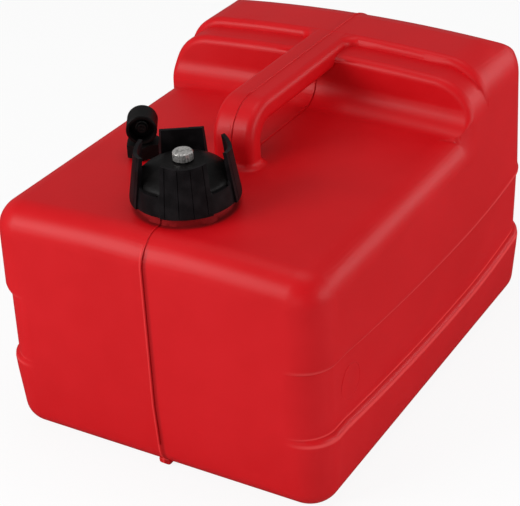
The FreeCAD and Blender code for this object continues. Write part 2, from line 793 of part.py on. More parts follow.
def ear_grooves():
    """Upright finger grooves down the outside of every ear."""
    foot = Vector(0, -SKIRT_RADIUS - EAR_PROUD, GRIP_FOOT + EAR_FOOT_HEIGHT)
    head = Vector(0, -EAR_TIP_OUTER, EAR_TOP)
    groove = v_cutter(EAR_GROOVE_DEPTH, FILLER + foot * 1.5 - head * 0.5, FILLER + head * 1.5 - foot * 0.5)
    span = EAR_GROOVE_ANGLE * EAR_GROOVE_COUNT
    grooves = []
    for ear in range(EAR_COUNT):
        start = EAR_AZIMUTH + 360 / EAR_COUNT * ear - (span - EAR_GROOVE_ANGLE) / 2
        grooves += around(groove, FILLER, EAR_GROOVE_COUNT, start, span)
    return grooves


def ear_saddles():
    """Long cylinders, each across two opposite ears, that leave the ears' tops slightly hollow."""
    half_ear = math.radians(180 / EAR_COUNT - NOTCH_ANGLE / 2)
    half_chord = EAR_TIP_OUTER * math.sin(half_ear)
    radius = (half_chord**2 + EAR_SADDLE_DEPTH**2) / (2 * EAR_SADDLE_DEPTH)
    start = FILLER + Vector(0, 2 * SKIRT_RADIUS, EAR_TOP - EAR_SADDLE_DEPTH + radius)
    saddle = Part.makeCylinder(radius, 4 * SKIRT_RADIUS, start, Vector(0, -1, 0))
    return around(saddle, FILLER, EAR_COUNT // 2, EAR_AZIMUTH, 180)


def cap_grip():
    """Castellated outer part of the cap, with four ears to turn it by."""
    recesses = drive_ribs(DRIVE_RIB_RADIUS + GRIP_CLEARANCE, GRIP_FOOT + GRIP_LIP_HEIGHT, DOME_EDGE_HEIGHT)
    return grip_blank().cut(notches() + skirt_relief() + ear_grooves() + ear_saddles() + recesses)


# ---- air vent in the cap


def insert_bottom():
    return DOME_TOP - 0.1 - INSERT_LENGTH


def insert_bore():
    return INSERT_RADIUS + PRESS_CLEARANCE


def vent_insert():
    """Threaded brass insert, waisted so that the closure's plastic grips it."""
    low = insert_bottom()
    high = low + INSERT_LENGTH
    third = INSERT_LENGTH / 3
    body = ring(INSERT_RADIUS, VENT_SHANK_RADIUS + VENT_SHANK_CLEARANCE, low, high, FILLER)
    waist_groove = ring(
        INSERT_RADIUS + 1, INSERT_RADIUS - INSERT_GROOVE_DEPTH, low + third, high - third, FILLER
    )
    return body.cut(waist_groove)


def vent_head_bottom():
    return DOME_TOP + VENT_HEAD_GAP


def clip_top():
    return insert_bottom() - VENT_LIFT


def vent_screw():
    """Knurled vent screw; a flat along its thread lets the air past."""
    head_bottom = vent_head_bottom()
    head_top = head_bottom + VENT_HEAD_HEIGHT
    clip_bottom = clip_top() - CLIP_THICKNESS
    tip = clip_bottom - VENT_TIP_LENGTH
    outline = (
        (0, tip),
        (CLIP_GROOVE_RADIUS, tip),
        (VENT_SHANK_RADIUS, tip + VENT_SHANK_RADIUS - CLIP_GROOVE_RADIUS),
        (VENT_SHANK_RADIUS, clip_bottom),
        (CLIP_GROOVE_RADIUS, clip_bottom),
        (CLIP_GROOVE_RADIUS, clip_top()),
        (VENT_SHANK_RADIUS, clip_top()),
        (VENT_SHANK_RADIUS, head_bottom),
        (VENT_HEAD_RADIUS, head_bottom),
        (VENT_HEAD_RADIUS, head_top - VENT_HEAD_CHAMFER),
        (VENT_HEAD_RADIUS - VENT_HEAD_CHAMFER, head_top),
        (0, head_top),
    )
    body = turned(outline, FILLER)
    side = FILLER + Vector(0, -VENT_HEAD_RADIUS, 0)
    knurl = v_cutter(VENT_KNURL_DEPTH, side + UP * (head_bottom - 1), side + UP * (head_top + 1))
    ring_seat = vent_ring_groove()
    flat = Part.makeBox(
        LAPPED, LAPPED, head_bottom - clip_top(),
        FILLER + Vector(VENT_SHANK_RADIUS - VENT_FLAT_DEPTH, -LAPPED / 2, clip_top()),
    )
    return body.cut(around(knurl, FILLER, VENT_KNURL_COUNT) + [ring_seat, flat])


def vent_ring_groove():
    """Groove in the head's underside for the seal ring, which stands on the closure's dome."""
    depth = 2 * VENT_RING_SECTION + RING_CLEARANCE - VENT_HEAD_GAP
    outer = VENT_RING_RADIUS + VENT_RING_SECTION + RING_CLEARANCE
    inner = VENT_RING_RADIUS - VENT_RING_SECTION - RING_CLEARANCE
    return ring(outer, inner, vent_head_bottom() - 1, vent_head_bottom() + depth, FILLER)


def vent_o_ring():
    centre = FILLER + UP * (DOME_TOP + VENT_RING_SECTION)
    return o_ring(VENT_RING_RADIUS, VENT_RING_SECTION, centre)


def vent_clip():
    """Open retaining clip that stops the vent screw after its travel."""
    high = clip_top()
    low = high - CLIP_THICKNESS
    body = ring(CLIP_RADIUS, CLIP_GROOVE_RADIUS + PRESS_CLEARANCE, low, high, FILLER)
    mouth = Part.makeBox(
        2 * CLIP_GROOVE_RADIUS * 0.8, 2 * CLIP_RADIUS, 2 * CLIP_THICKNESS,
        FILLER + Vector(-CLIP_GROOVE_RADIUS * 0.8, 0, low - CLIP_THICKNESS / 2),
    )
    return body.cut(mouth)


def splash_cup():
    """Cup snapped into the closure that keeps sloshing fuel out of the vent."""
    rim_low = closure_ceiling() + PRESS_CLEARANCE
    rim_high = rim_low + CUP_RIM_HEIGHT
    rim_radius = CUP_SOCKET_RADIUS - PRESS_CLEARANCE
    inner = CUP_RADIUS - CUP_WALL
    outline = (
        (0, CUP_FLOOR),
        (CUP_RADIUS, CUP_FLOOR),
        (CUP_RADIUS, rim_low),
        (rim_radius, rim_low),
        (rim_radius, rim_high),
        (inner, rim_high),
        (inner, CUP_FLOOR + CUP_WALL),
        (0, CUP_FLOOR + CUP_WALL),
    )
    hole = cylinder(
        CUP_HOLE_RADIUS, CUP_FLOOR - 1, CUP_FLOOR + CUP_WALL + 1, FILLER + Vector(inner * 0.75, 0, 0)
    )
    return turned(outline, FILLER).cut(around(hole, FILLER, CUP_HOLE_COUNT))


# ---- fuel outlet


def head_bottom():
    return OUTLET_NECK_TOP + OUTLET_GASKET_THICKNESS


def elbow_bottom():
    return head_bottom() + HEAD_FLANGE_THICKNESS + ELBOW_FLANGE_GAP


def elbow_flange_top():
    return elbow_bottom() + ELBOW_FLANGE_THICKNESS


def outlet_gasket():
    inner = HEAD_TUBE_RADIUS + GASKET_CLEARANCE
    return ring(OUTLET_NECK_RADIUS - PRESS_CLEARANCE, inner, OUTLET_NECK_TOP, head_bottom(), OUTLET)


def pickup_head():
    """Flanged sleeve in the outlet neck; the elbow turns in it and the pickup tube hangs from it."""
    flange_top = head_bottom() + HEAD_FLANGE_THICKNESS
    low = head_bottom() - HEAD_LENGTH
    socket_top = low + HEAD_SOCKET_LENGTH
    socket = PICKUP_RADIUS + PRESS_CLEARANCE
    outline = (
        (socket, low),
        (HEAD_TUBE_RADIUS, low),
        (HEAD_TUBE_RADIUS, head_bottom()),
        (HEAD_FLANGE_RADIUS, head_bottom()),
        (HEAD_FLANGE_RADIUS, flange_top),
        (HEAD_BORE_RADIUS, flange_top),
        (HEAD_BORE_RADIUS, socket_top + 1),
        (PICKUP_BORE_RADIUS, socket_top + 1),
        (PICKUP_BORE_RADIUS, socket_top),
        (socket, socket_top),
    )
    return turned(outline, OUTLET)


def outlet_nut():
    """Hexagon union nut that clamps the elbow's flange onto the neck."""
    high = elbow_flange_top() + PRESS_CLEARANCE + NUT_SHOULDER
    corner = NUT_ACROSS_FLATS / math.sqrt(3)
    corners = []
    for side in range(7):
        angle = math.radians(60 * side + 30 - OUTLET_AZIMUTH)
        corners.append(OUTLET + Vector(corner * math.cos(angle), corner * math.sin(angle), NUT_BOTTOM))
    blank = extrude(Part.makePolygon(corners), UP * (high - NUT_BOTTOM))
    chamfered = turned(
        (
            (0, NUT_BOTTOM),
            (corner, NUT_BOTTOM),
            (corner, high - NUT_CHAMFER),
            (NUT_ACROSS_FLATS / 2, high),
            (0, high),
        ),
        OUTLET,
    )
    bore = cylinder(
        OUTLET_NECK_RADIUS + NUT_THREAD_CLEARANCE, NUT_BOTTOM - 1, high - NUT_SHOULDER, OUTLET
    )
    hole = cylinder(STEM_RADIUS + NUT_THREAD_CLEARANCE, NUT_BOTTOM, high + 1, OUTLET)
    return blank.common(chamfered).cut(bore.fuse(hole))


def lying(shape):
    """Turn a shape made along +Z so that it lies along the hood, pointing out of its mouth."""
    shape.rotate(Vector(0, 0, 0), Vector(1, 0, 0), 90)
    shape.rotate(Vector(0, 0, 0), UP, OUTLET_AZIMUTH)
    shape.translate(OUTLET + UP * HOOD_HEIGHT)
    return shape


def lying_ring(outer, inner, start, end):
    return lying(ring(outer, inner, start, end, Vector(0, 0, 0)))


def elbow_passage():
    """Fuel way: up the spigot, then slanting back to a chamber behind the nipple."""
    bottom = elbow_bottom() - SPIGOT_LENGTH
    spigot = cylinder(ELBOW_BORE_RADIUS, bottom - 1, elbow_flange_top(), OUTLET)
    base_end = HOOD_FLOOR - NIPPLE_BASE_LENGTH
    chamber_end = base_end - ELBOW_CHAMBER_LENGTH
    socket = lying(cylinder(NIPPLE_BASE_RADIUS + PRESS_CLEARANCE, base_end, HOOD_FRONT))
    chamber = lying(cylinder(NIPPLE_BORE_RADIUS, chamber_end, base_end + 1))
    foot = Vector(0, elbow_bottom() - HOOD_HEIGHT, HOOD_FLOOR)
    slant = Vector(0, -NIPPLE_BORE_RADIUS, chamber_end + ELBOW_DRILLING_RADIUS) - foot
    drilling = lying(Part.makeCylinder(ELBOW_DRILLING_RADIUS, slant.Length, foot, slant))
    return [spigot, socket, chamber, drilling]


def outlet_elbow():
    """Turning elbow: a spigot in the pickup head, a stem and a hood round the nipple."""
    bottom = elbow_bottom() - SPIGOT_LENGTH
    spigot_radius = HEAD_BORE_RADIUS - SPIGOT_CLEARANCE
    stem = turned(
        (
            (0, bottom),
            (spigot_radius, bottom),
            (spigot_radius, elbow_bottom()),
            (ELBOW_FLANGE_RADIUS, elbow_bottom()),
            (ELBOW_FLANGE_RADIUS, elbow_flange_top()),
            (STEM_RADIUS, elbow_flange_top()),
            (STEM_RADIUS, HOOD_HEIGHT),
            (0, HOOD_HEIGHT),
        ),
        OUTLET,
    )
    hood = cylinder(HOOD_RADIUS, -HOOD_BACK, HOOD_FRONT)
    rims = circles(hood, HOOD_RADIUS, HOOD_FRONT) + circles(hood, HOOD_RADIUS, -HOOD_BACK)
    hood = hood.makeChamfer(HOOD_EDGE_BEVEL, rims)
    mouth = lying(cylinder(HOOD_BORE_RADIUS, HOOD_FLOOR, HOOD_FRONT + 1))
    body = stem.fuse(lying(hood)).cut([mouth] + elbow_passage())
    seat = ring(
        spigot_radius + 1, spigot_ring_root(),
        SPIGOT_RING_HEIGHT - SPIGOT_RING_SECTION - RING_CLEARANCE,
        SPIGOT_RING_HEIGHT + SPIGOT_RING_SECTION + RING_CLEARANCE, OUTLET,
    )
    return body.cut(seat)


def spigot_ring_root():
    return HEAD_BORE_RADIUS - 2 * SPIGOT_RING_SECTION - 2 * RING_CLEARANCE


def elbow_o_ring():
    radius = HEAD_BORE_RADIUS - RING_CLEARANCE - SPIGOT_RING_SECTION
    return o_ring(radius, SPIGOT_RING_SECTION, OUTLET + UP * SPIGOT_RING_HEIGHT)


def nipple_tip():
    return HOOD_FLOOR + NIPPLE_REACH


def retainer_front():
    return HOOD_FLOOR - NIPPLE_BASE_LENGTH + RETAINER_THICKNESS


def connector_nipple():
    """Male fuel connector with a valve seat in its tip."""
    base_end = HOOD_FLOOR - NIPPLE_BASE_LENGTH
    tip = nipple_tip()
    outline = (
        (NIPPLE_BORE_RADIUS, base_end),
        (NIPPLE_BASE_RADIUS, base_end),
        (NIPPLE_BASE_RADIUS, HOOD_FLOOR),
        (NIPPLE_RADIUS, HOOD_FLOOR),
        (NIPPLE_RADIUS, tip - NIPPLE_SEAT_THICKNESS / 2),
        (NIPPLE_RADIUS - NIPPLE_SEAT_THICKNESS / 2, tip),
        (NIPPLE_SEAT_RADIUS, tip),
        (NIPPLE_SEAT_RADIUS, tip - NIPPLE_SEAT_THICKNESS),
        (NIPPLE_BORE_RADIUS, tip - NIPPLE_SEAT_THICKNESS),
    )
    middle = HOOD_FLOOR + NIPPLE_REACH / 2
    groove = ring(
        NIPPLE_RADIUS + 1, NIPPLE_RADIUS - NIPPLE_RING_SECTION,
        middle - NIPPLE_RING_SECTION - RING_CLEARANCE,
        middle + NIPPLE_RING_SECTION + RING_CLEARANCE, Vector(0, 0, 0),
    )
    return lying(turned(outline, Vector(0, 0, 0)).cut(groove))


def nipple_o_ring():
    middle = Vector(0, 0, HOOD_FLOOR + NIPPLE_REACH / 2)
    return lying(o_ring(NIPPLE_RADIUS + RING_CLEARANCE, NIPPLE_RING_SECTION, middle))


def seal_front():
    return nipple_tip() - NIPPLE_SEAT_THICKNESS - POPPET_SEAL_GAP


def poppet():
    """Spring-loaded valve; a hose connector pushes its pin in to open it."""
    head_front = seal_front() - POPPET_SEAL_THICKNESS
    head_back = head_front - POPPET_HEAD_THICKNESS
    head_radius = POPPET_HEAD_RADIUS
    outline = (
        (0, head_back - POPPET_STEM_LENGTH),
        (POPPET_STEM_RADIUS, head_back - POPPET_STEM_LENGTH),
        (POPPET_STEM_RADIUS, head_back),
        (head_radius, head_back),
        (head_radius, head_front),
        (POPPET_PIN_RADIUS, head_front),
        (POPPET_PIN_RADIUS, nipple_tip()),
        (0, nipple_tip()),
    )
    flutes = cylinder(
        POPPET_STEM_RADIUS, head_back - 1, head_front + 1,
        Vector(POPPET_HEAD_RADIUS + POPPET_STEM_RADIUS / 2, 0, 0)
    )
    return lying(turned(outline, Vector(0, 0, 0)).cut(around(flutes, Vector(0, 0, 0), 3)))


def poppet_seal():
    front = seal_front()
    inner = POPPET_PIN_RADIUS + PRESS_CLEARANCE
    outer = (POPPET_HEAD_RADIUS + NIPPLE_SEAT_RADIUS) / 2
    return lying_ring(outer, inner, front - POPPET_SEAL_THICKNESS, front)


def square_corners(half):
    return ((half, half), (-half, half), (-half, -half), (half, -half))


def poppet_spring():
    """Coil spring between the poppet's head and the retainer."""
    front = seal_front() - POPPET_SEAL_THICKNESS - POPPET_HEAD_THICKNESS
    length = front - retainer_front() - 2 * SPRING_WIRE_RADIUS - 2 * POPPET_SEAL_GAP
    helix = Part.makeHelix(length / SPRING_TURNS, length, SPRING_RADIUS)
    corners = [Vector(SPRING_RADIUS + x, 0, z) for x, z in square_corners(SPRING_WIRE_RADIUS)]
    section = Part.makePolygon(corners + corners[:1])
    coil = Part.Wire(helix.Edges).makePipeShell([section], True, True)
    coil.translate(UP * (retainer_front() + SPRING_WIRE_RADIUS + POPPET_SEAL_GAP))
    return lying(coil)


def spring_retainer():
    """Star washer pressed into the back of the nipple to hold the spring."""
    outer = NIPPLE_BORE_RADIUS - PRESS_CLEARANCE
    back = retainer_front() - RETAINER_THICKNESS
    return lying_ring(outer, POPPET_STEM_RADIUS + 2 * SPRING_WIRE_RADIUS / 2, back, retainer_front())


# ---- pickup


def pickup_top():
    return head_bottom() - HEAD_LENGTH + HEAD_SOCKET_LENGTH


def strainer_bottom():
    return PANEL_DEPTH + WALL + STRAINER_CLEARANCE


def strainer_floor_of_socket():
    return strainer_bottom() + STRAINER_LENGTH - STRAINER_SOCKET


def pickup_tube():
    return ring(PICKUP_RADIUS, PICKUP_BORE_RADIUS, strainer_floor_of_socket(), pickup_top(), OUTLET)


def pickup_strainer():
    """Slotted cup on the end of the pickup tube."""
    low = strainer_bottom()
    socket_low = strainer_floor_of_socket()
    cavity = STRAINER_RADIUS - STRAINER_WALL
    socket = PICKUP_RADIUS + PRESS_CLEARANCE
    outline = (
        (0, low),
        (STRAINER_RADIUS, low),
        (STRAINER_RADIUS, low + STRAINER_LENGTH),
        (socket, low + STRAINER_LENGTH),
        (socket, socket_low),
        (PICKUP_BORE_RADIUS, socket_low),
        (PICKUP_BORE_RADIUS, socket_low - 1),
        (cavity, socket_low - 2),
        (cavity, low + STRAINER_WALL),
        (0, low + STRAINER_WALL),
    )
    slot_low = low + STRAINER_WALL
    slot = Part.makeBox(
        2 * STRAINER_RADIUS, STRAINER_SLOT_WIDTH, socket_low - 2 - slot_low,
        OUTLET + Vector(0, -STRAINER_SLOT_WIDTH / 2, slot_low),
    )
    return turned(outline, OUTLET).cut(around(slot, OUTLET, STRAINER_SLOT_COUNT))


PARTS = (
    tank_shell,
    filler_gasket,
    cap_closure,
    cap_grip,
    vent_insert,
    vent_screw,
    vent_o_ring,
    vent_clip,
    splash_cup,
    outlet_gasket,
    pickup_head,
    outlet_nut,
    outlet_elbow,
    elbow_o_ring,
    connector_nipple,
    nipple_o_ring,
    poppet,
    poppet_seal,
    poppet_spring,
    spring_retainer,
    pickup_tube,
    pickup_strainer,
)

os.makedirs("parts", exist_ok=True)
for make in PARTS:
    shape = make()
    solid = shape.Solids[0] if len(shape.Solids) == 1 else shape
    print(make.__name__, shape.isValid(), len(shape.Solids), round(shape.Volume, 2))
    solid.exportStep(os.path.join("parts", make.__name__ + ".step"))
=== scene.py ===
import math
import bpy
from mathutils import Matrix, Vector


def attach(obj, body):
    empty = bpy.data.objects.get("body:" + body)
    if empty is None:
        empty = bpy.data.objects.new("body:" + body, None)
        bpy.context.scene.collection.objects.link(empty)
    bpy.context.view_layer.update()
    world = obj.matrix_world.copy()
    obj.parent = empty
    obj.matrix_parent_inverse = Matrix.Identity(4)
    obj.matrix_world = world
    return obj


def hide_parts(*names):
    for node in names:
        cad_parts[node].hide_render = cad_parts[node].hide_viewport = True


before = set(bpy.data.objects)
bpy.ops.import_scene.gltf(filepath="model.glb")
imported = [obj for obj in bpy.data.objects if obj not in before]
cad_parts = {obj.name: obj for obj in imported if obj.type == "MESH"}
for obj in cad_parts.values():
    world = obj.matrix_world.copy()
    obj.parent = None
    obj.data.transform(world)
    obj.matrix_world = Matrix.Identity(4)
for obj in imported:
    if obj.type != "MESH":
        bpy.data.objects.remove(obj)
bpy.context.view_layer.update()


# ---- Studio: a pale floor that runs out into white under an even sky, and five
# large soft lamps: above, to the left in front, to the right, in front and behind.


def only(*things):
    """Select these objects and nothing else."""
    if bpy.context.object and bpy.context.object.mode != "OBJECT":
        bpy.ops.object.mode_set(mode="OBJECT")
    bpy.ops.object.select_all(action="DESELECT")
    for thing in things:
        thing.select_set(True)
    bpy.context.view_layer.objects.active = things[-1]


class Wire:
    """A socket of a material's nodes; sums and products of sockets add their Math nodes."""

    def __init__(self, tree, socket=None):
        self.tree = tree
        self.socket = socket

    def node(self, kind, settings=(), values=(), output=0):
        """Add a node: its settings first, then the values or links of its sockets."""
        made = self.tree.nodes.new("ShaderNode" + kind)
        for name, value in dict(settings).items():
            setattr(made, name, value)
        for name, value in dict(values).items():
            if isinstance(value, Wire):
                self.tree.links.new(value.socket, made.inputs[name])
            else:
                made.inputs[name].default_value = value
        return Wire(self.tree, made.outputs[output])

    def maths(self, operation, *others):
        """A Math node with this socket as its first value."""
        return self.node("Math", {"operation": operation}, dict(enumerate((self,) + others)))

    def __add__(self, other):
        return self.maths("ADD", other)

    def __sub__(self, other):
        return self.maths("SUBTRACT", other)

    def __rsub__(self, other):
        return self * -1 + other

    def __mul__(self, other):
        return self.maths("MULTIPLY", other)

    __radd__ = __add__
    __rmul__ = __mul__

    def between(self, low, high):
        """0 below low, 1 above high, and smooth in between."""
        values = {"Value": self, "From Min": low, "From Max": high}
        return self.node("MapRange", {"interpolation_type": "SMOOTHSTEP"}, values)

    def blend(self, first, second):
        """Colour between two others, by this factor."""
        settings = {"data_type": "RGBA"}
        return self.node("Mix", settings, {0: self, 6: first, 7: second}, output=2)

    def stretched(self, factors):
        """This place with each of its axes scaled."""
        return self.node("Mapping", {}, {"Vector": self, "Scale": factors})

    def noise(self, scale, detail):
        """Noise at this place, with scale patches to the metre."""
        return self.node("TexNoise", {}, {"Vector": self, "Scale": scale, "Detail": detail})

    def bump(self, strength, distance):
        """Normals of a surface that this height raises."""
        values = {"Height": self, "Strength": strength, "Distance": distance}
        return self.node("Bump", {}, values)


bpy.context.scene.view_settings.view_transform = "Standard"

# A pale floor: it takes the object's shadow and looks nearly white to the camera.
only(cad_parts["tank_shell"])
bpy.ops.mesh.primitive_plane_add(size=12)
floor = bpy.context.object
floor.name = "studio_floor"
floor_paint = bpy.data.materials.new("pale_floor")
floor_paint.use_nodes = True
floor_tree = floor_paint.node_tree
floor_shader = floor_tree.nodes["Principled BSDF"]
floor_shader.inputs["Base Color"].default_value = (0.82, 0.82, 0.82, 1)
floor_shader.inputs["Roughness"].default_value = 0.9
floor_wire = Wire(floor_tree)
ray_camera = floor_wire.node("LightPath", output="Is Camera Ray")
ray_glossy = floor_wire.node("LightPath", output="Is Glossy Ray")
ray_through = floor_wire.node("LightPath", output="Is Transmission Ray")
seen = ray_camera.maths("MAXIMUM", ray_through)
white = floor_wire.node("Emission", {}, {"Color": (1, 1, 1, 1), "Strength": 1.0})
mirrored = floor_wire.node("Emission", {}, {"Color": (1, 1, 1, 1), "Strength": 0.08})
pale = floor_wire.node(
    "MixShader", {}, {0: seen * 0.9, 1: Wire(floor_tree, floor_shader.outputs[0]), 2: white}
)
mixed = floor_wire.node("MixShader", {}, {0: ray_glossy, 1: pale, 2: mirrored})
floor_tree.links.new(mixed.socket, floor_tree.nodes["Material Output"].inputs["Surface"])
floor.data.materials.append(floor_paint)

world = bpy.data.worlds.new("studio")
bpy.context.scene.world = world
world.use_nodes = True
sky_tree = world.node_tree
sky = sky_tree.nodes["Background"]
sky.inputs["Color"].default_value = (1, 1, 1, 1)
sky_wire = Wire(sky_tree)
ray_camera = sky_wire.node("LightPath", output="Is Camera Ray")
ray_through = sky_wire.node("LightPath", output="Is Transmission Ray")
seen = ray_camera.maths("MAXIMUM", ray_through)
sky_tree.links.new((seen * 0.7 + 0.3).socket, sky.inputs["Strength"])


def soft_lamp(name, place, target, width, height, power):
    """Large rectangular lamp that looks at a point."""
    lamp = bpy.data.lights.new(name, "AREA")
    lamp.shape = "RECTANGLE"
    lamp.size = width
    lamp.size_y = height
    lamp.energy = power
    thing = bpy.data.objects.new(name, lamp)
    bpy.context.collection.objects.link(thing)
    thing.location = place
    thing.rotation_euler = (Vector(target) - Vector(place)).to_track_quat("-Z", "Y").to_euler()


soft_lamp("lamp_above", (0.0, 0.1, 1.5), (0, 0, 0.15), 1.0, 0.6, 5.0)
soft_lamp("lamp_left", (-0.85, -1.25, 0.85), (0, 0, 0.1), 0.9, 0.8, 19)
soft_lamp("lamp_right", (1.5, 0.2, 0.5), (0, 0, 0.1), 1.0, 0.5, 9)
soft_lamp("lamp_front", (0.4, -1.6, 0.4), (0, 0, 0.1), 1.0, 0.5, 2.5)
soft_lamp("lamp_behind", (1.0, 1.15, 0.42), (0, 0, 0.15), 0.8, 0.4, 4)

# Camera: above the filler corner, turned a little about its own line of sight.
camera_data = bpy.data.cameras.new("camera")
camera = bpy.data.objects.new("camera", camera_data)
bpy.context.collection.objects.link(camera)
bpy.context.scene.camera = camera
camera_data.lens = 110.35
camera_data.sensor_width = 36
camera_azimuth = math.radians(31.44)
camera_height = math.radians(29.75)
camera_roll = math.radians(-3.0)
sideways = Vector((math.cos(camera_azimuth), math.sin(camera_azimuth), 0))
backward = Vector((
    math.sin(camera_azimuth) * math.cos(camera_height),
    -math.cos(camera_azimuth) * math.cos(camera_height),
    math.sin(camera_height),
))
upward = backward.cross(sideways)
across = sideways * math.cos(camera_roll) + upward * math.sin(camera_roll)
upright = upward * math.cos(camera_roll) - sideways * math.sin(camera_roll)
turn = Matrix((across, upright, backward)).transposed()
camera_place = (0.4915, -0.8279, 0.6297)
camera.matrix_world = Matrix.Translation(camera_place) @ turn.to_4x4()


# ---- Tank: one blow moulding of red polyethylene with its handle, its filler
# neck and its outlet neck. The skin is satin, a little wavy and finely grained.


def new_material(name):
    """A material with its main shader, and a wire to hang its nodes on."""
    material = bpy.data.materials.new(name)
    material.use_nodes = True
    shader = material.node_tree.nodes["Principled BSDF"]
    return material, shader, Wire(material.node_tree)


def feed(shader, name, wire):
    """Link a wire to one of the shader's sockets."""
    wire.tree.links.new(wire.socket, shader.inputs[name])


def joined_copy(node, name):
    """A solid's own shape as one joined mesh, with its flat faces whole again."""
    piece = bpy.data.objects.new(name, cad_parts[node].data.copy())
    bpy.context.collection.objects.link(piece)
    piece.data.materials.clear()
    only(piece)
    bpy.ops.object.mode_set(mode="EDIT")
    bpy.ops.mesh.select_all(action="SELECT")
    bpy.ops.mesh.remove_doubles(threshold=2e-6)
    bpy.ops.mesh.dissolve_limited(angle_limit=math.radians(0.4))
    bpy.ops.object.mode_set(mode="OBJECT")
    return piece


def smooth(piece, angle):
    """Smooth shading that keeps flat faces flat beside their rounded edges."""
    only(piece)
    bpy.ops.object.shade_smooth_by_angle(angle=math.radians(angle))
    weights = piece.modifiers.new("weights", "WEIGHTED_NORMAL")
    weights.weight = 100
    weights.keep_sharp = True
    bpy.ops.object.modifier_apply(modifier="weights")


def round_edges(piece, width):
    """Small rounds on the sharp edges of a moulding."""
    only(piece)
    bevel = piece.modifiers.new("rounds", "BEVEL")
    bevel.width = width
    bevel.segments = 2
    bevel.limit_method = "ANGLE"
    bevel.angle_limit = math.radians(35)
    bevel.use_clamp_overlap = True
    bpy.ops.object.modifier_apply(modifier="rounds")


def stand_for(piece, node, body, material):
    """The piece takes the node's place, its body and its finish."""
    piece.data.materials.append(material)
    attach(piece, body)
    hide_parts(node)


# Both lines of the waist, the overhang above it and the ledge below, climb from
# their lowest point towards the ends of the tank, as far as the limit. Metres.
SAG_MIDDLE = 0.05
SAG_FRONT = 0.3
SAG_REAR = 0.8
SAG_LIMIT = 0.0095
LIP_LEVEL = 0.0955
ROOT_LEVEL = 0.0475
RIM_LEVEL = 0.0432
FILLER = (0, -0.1077, 0)
DECK_EDGE = (0.158, 0.166)

red, red_shader, wire = new_material("red_polyethylene")
place = wire.node("TexCoord", output="Object")
x = wire.node("SeparateXYZ", {}, {0: place}, output="X")
height = wire.node("SeparateXYZ", {}, {0: place}, output="Z")
broad = place.noise(9.0, 2.0)
patchy = place.noise(55.0, 3.0)
grain = place.noise(1100.0, 2.0)
# The skin is streaked where it was pinched between the two halves of the mould.
streaks = place.stretched((420.0, 22.0, 22.0)).noise(1.0, 2.0)
beside_seam = 1 - x.maths("ABSOLUTE").between(0.003, 0.012)
# Both lines of the waist carry painted highlights: thin lighter red bands along the overhang's lip and the
# ledge's root and rim, where light catches them.
along = wire.node("SeparateXYZ", {}, {0: place}, output="Y") - SAG_MIDDLE
behind = along.maths("MAXIMUM", 0)
sagging = (along * along * SAG_FRONT + behind * behind * (SAG_REAR - SAG_FRONT)).maths("MINIMUM", SAG_LIMIT)
level = height - sagging
lip = 1 - (level - LIP_LEVEL).maths("ABSOLUTE").between(0.0005, 0.0018)
root = 1 - (level - ROOT_LEVEL).maths("ABSOLUTE").between(0.0003, 0.0009)
rim = 1 - (level - RIM_LEVEL).maths("ABSOLUTE").between(0.0004, 0.0018)
painted_waist_light = (lip * 0.5 + root * 0.6 + rim * 0.6) * x.maths("ABSOLUTE").between(0.092, 0.115)
# A shallow hollow runs down one side of the seam: it is bumped into the surface and darkened with painted
# shade. A painted highlight runs down the other side as a light crest.
under_deck = 1 - height.between(*DECK_EDGE)
hollow_and_shade = (1 - (x - 0.0014).maths("ABSOLUTE").between(0.0004, 0.0028)) * under_deck
crest_highlight = (1 - (x + 0.0013).maths("ABSOLUTE").between(0.0002, 0.0009)) * under_deck
# Round the filler boss, under the cap, the skin is darker and rougher: a painted shadow of the cap.
flattened = place.stretched((1.0, 1.0, 0.0))
from_filler = wire.node("VectorMath", {"operation": "DISTANCE"}, {0: flattened, 1: FILLER}, output="Value")
painted_cap_shadow = (1 - from_filler.between(0.0315, 0.0345)) * (1 - patchy.between(0.5, 0.8) * 0.2)
tone = (broad * 0.7 + patchy * 0.3).between(0.3, 0.7)
skin = tone.blend((0.53, 0.002, 0.005, 1), (0.58, 0.004, 0.008, 1))
painted_waist_light_red = (0.80, 0.075, 0.075, 1)
crest_highlight_red = (0.78, 0.05, 0.05, 1)
painted_cap_shadow_red = (0.13, 0.0, 0.0005, 1)
hollow_and_shade_red = (0.24, 0.0, 0.001, 1)
# Painted highlights along the lines of the waist.
skin = painted_waist_light.blend(skin, painted_waist_light_red)
# Painted highlight on the seam's crest.
skin = (crest_highlight * 0.55).blend(skin, crest_highlight_red)
# Painted shadow of the cap round the filler boss.
skin = (painted_cap_shadow * 0.8).blend(skin, painted_cap_shadow_red)
# Painted shade in the seam's hollow.
feed(red_shader, "Base Color", (hollow_and_shade * 0.6).blend(skin, hollow_and_shade_red))
red_shader.inputs["Specular IOR Level"].default_value = 0.2
feed(red_shader, "Roughness", patchy * 0.06 + grain * 0.06 + painted_cap_shadow * 0.4 + 0.37)
relief = grain * 0.25 + patchy * 0.3 + streaks * beside_seam * 0.3 - hollow_and_shade
feed(red_shader, "Normal", relief.bump(0.35, 0.0003))

# As the moulding cools, its long walls draw: both lines of the waist dip in mid
# length, and the upper part comes out a little narrower at the tall end.
LENGTHWISE_CUTS = (-0.125, -0.1, -0.075, -0.05, -0.025, 0.0, 0.025, 0.05, 0.075, 0.1, 0.12)
CUTS_BESIDE_SEAM = (-0.004, -0.0015, 0.0015, 0.004)
HALF_WIDTH = 0.12
HALF_LENGTH = 0.161
UPPER_NARROWER = 0.0005
UPPER_TAPER = 0.001
WAIST_WIDER = 0.00035
WAIST_TAPER = 0.00105
WAIST_TOP = 0.09
UPPER_FOOT = 0.095
UPPER_BLEND = 0.005
